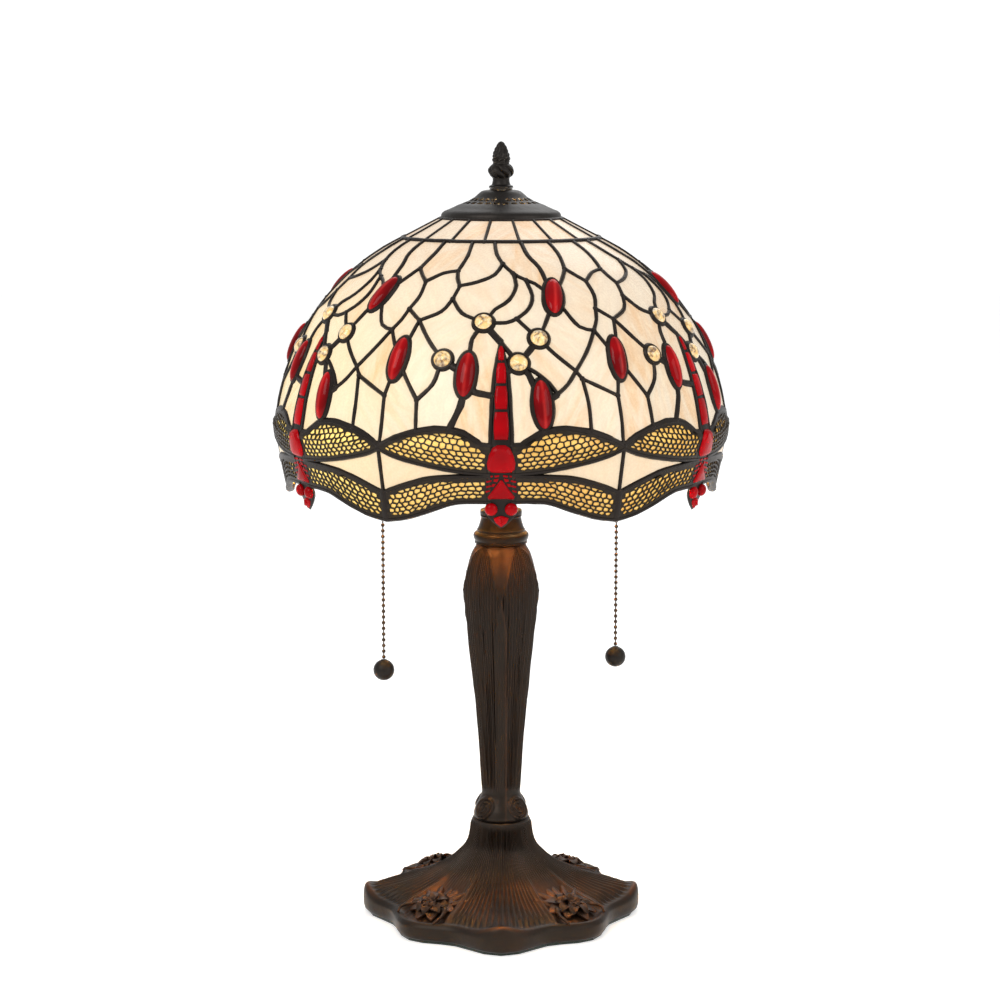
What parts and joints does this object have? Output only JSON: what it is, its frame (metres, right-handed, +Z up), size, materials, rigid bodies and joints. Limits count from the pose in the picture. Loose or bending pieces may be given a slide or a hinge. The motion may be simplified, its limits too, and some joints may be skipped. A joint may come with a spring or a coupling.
{
  "type": "stained glass table lamp",
  "caption": "Leaded glass table lamp: domed dragonfly shade on a fluted bronze column and leaf-shaped base, with pull-chain lampholders inside.",
  "frame": {"origin": "middle of the underside of the felt pad, on the table", "axes": "+Z up along the lamp's axis; -Y is the front, +X is to the right seen from the front"},
  "size_m": [0.3026, 0.3078, 0.5245],
  "materials": {
    "bronze_cast": "dark brown bronze patina, rubbed warm on the high edges",
    "gold_bronze": "aged gold-bronze",
    "dark_bronze": "near-black bronze, satin",
    "lead_came": "patinated solder and came",
    "cream_glass": "opalescent cream art glass, back-lit",
    "amber_glass": "amber art glass under etched metal filigree, with red glass body",
    "bulb_glass": "frosted, lit",
    "brass": "satin",
    "steel": "zinc plated",
    "iron": "as cast",
    "felt": "green felt",
    "black_plastic": "matt",
    "liner": "fibre insulating sleeve"
  },
  "bodies": {
    "stand": {"felt_pad": "felt", "base_casting": "bronze_cast", "column": "bronze_cast", "check_ring": "bronze_cast", "column_collar": "gold_bronze", "base_weight": "iron", "base_washer": "steel", "base_nut": "steel", "lamp_rod": "steel", "riser_rod": "steel", "cable_gland": "black_plastic", "column_nut": "brass", "cluster_body": "brass", "riser_nut": "brass", "shade_wheel": "brass", "cluster_arm_right": "brass", "lampholder_cap_right": "brass", "lampholder_shell_right": "brass", "screw_shell_right": "brass", "chain_outlet_right": "brass", "insulating_liner_right": "liner", "switch_block_right": "black_plastic", "bulb_cap_right": "steel", "bulb_glass_right": "bulb_glass", "cluster_arm_left": "brass", "lampholder_cap_left": "brass", "lampholder_shell_left": "brass", "screw_shell_left": "brass", "chain_outlet_left": "brass", "insulating_liner_left": "liner", "switch_block_left": "black_plastic", "bulb_cap_left": "steel", "bulb_glass_left": "bulb_glass"},
    "shade": {"crown_glass": "cream_glass", "crown_came": "lead_came", "shade_top_ring": "brass", "vent_cap": "dark_bronze", "dome_panel_1": "cream_glass", "dome_panel_2": "cream_glass", "dome_panel_3": "cream_glass", "dome_panel_4": "cream_glass", "dome_panel_5": "cream_glass", "dome_panel_6": "cream_glass", "dragonfly_1": "amber_glass", "dragonfly_2": "amber_glass", "dragonfly_3": "amber_glass", "dragonfly_4": "amber_glass", "dragonfly_5": "amber_glass", "dragonfly_6": "amber_glass"},
    "finial_washer": {"finial_washer": "brass"},
    "finial": {"finial": "dark_bronze"},
    "switch_right": {"switch_pull_right": "brass"},
    "coupling_right": {"chain_coupling_right": "dark_bronze"},
    "chain_right": {"bead_chain_right": "dark_bronze", "pull_ball_right": "dark_bronze"},
    "switch_left": {"switch_pull_left": "brass"},
    "coupling_left": {"chain_coupling_left": "dark_bronze"},
    "chain_left": {"bead_chain_left": "dark_bronze", "pull_ball_left": "dark_bronze"}
  },
  "joints": [
    {"name": "shade_turn", "type": "hinge", "parent": "stand", "child": "shade", "pos_m": [0, 0, 0.4], "axis": [0, 0, 1], "continuous": true},
    {"name": "finial_lift", "type": "slide", "parent": "stand", "child": "finial_washer", "axis": [0, 0, 1], "range_m": [0, 0.006]},
    {"name": "finial_turn", "type": "hinge", "parent": "finial_washer", "child": "finial", "pos_m": [0, 0, 0.5], "axis": [0, 0, 1], "range_deg": [0, 2160]},
    {"name": "switch_right_pull", "type": "slide", "parent": "stand", "child": "switch_right", "axis": [0, 0, -1], "range_m": [0, 0.01], "stiffness_N_per_m": 200, "springref_m": -0.01},
    {"name": "chain_right_fore_aft", "type": "hinge", "parent": "switch_right", "child": "coupling_right", "pos_m": [0.07846, 0.02014, 0.29495], "axis": [1, 0, 0], "range_deg": [-40, 40]},
    {"name": "chain_right_sideways", "type": "hinge", "parent": "coupling_right", "child": "chain_right", "pos_m": [0.07846, 0.02014, 0.28815], "axis": [0, 1, 0], "range_deg": [-40, 22]},
    {"name": "switch_left_pull", "type": "slide", "parent": "stand", "child": "switch_left", "axis": [0, 0, -1], "range_m": [0, 0.01], "stiffness_N_per_m": 200, "springref_m": -0.01},
    {"name": "chain_left_fore_aft", "type": "hinge", "parent": "switch_left", "child": "coupling_left", "pos_m": [-0.07846, -0.02014, 0.29495], "axis": [1, 0, 0], "range_deg": [-40, 40]},
    {"name": "chain_left_sideways", "type": "hinge", "parent": "coupling_left", "child": "chain_left", "pos_m": [-0.07846, -0.02014, 0.28815], "axis": [0, 1, 0], "range_deg": [-22, 40]}
  ],
  "couplings": [
    {"joint": "finial_turn", "follows": "finial_lift", "rad_per_m": 6283.2}
  ]
}
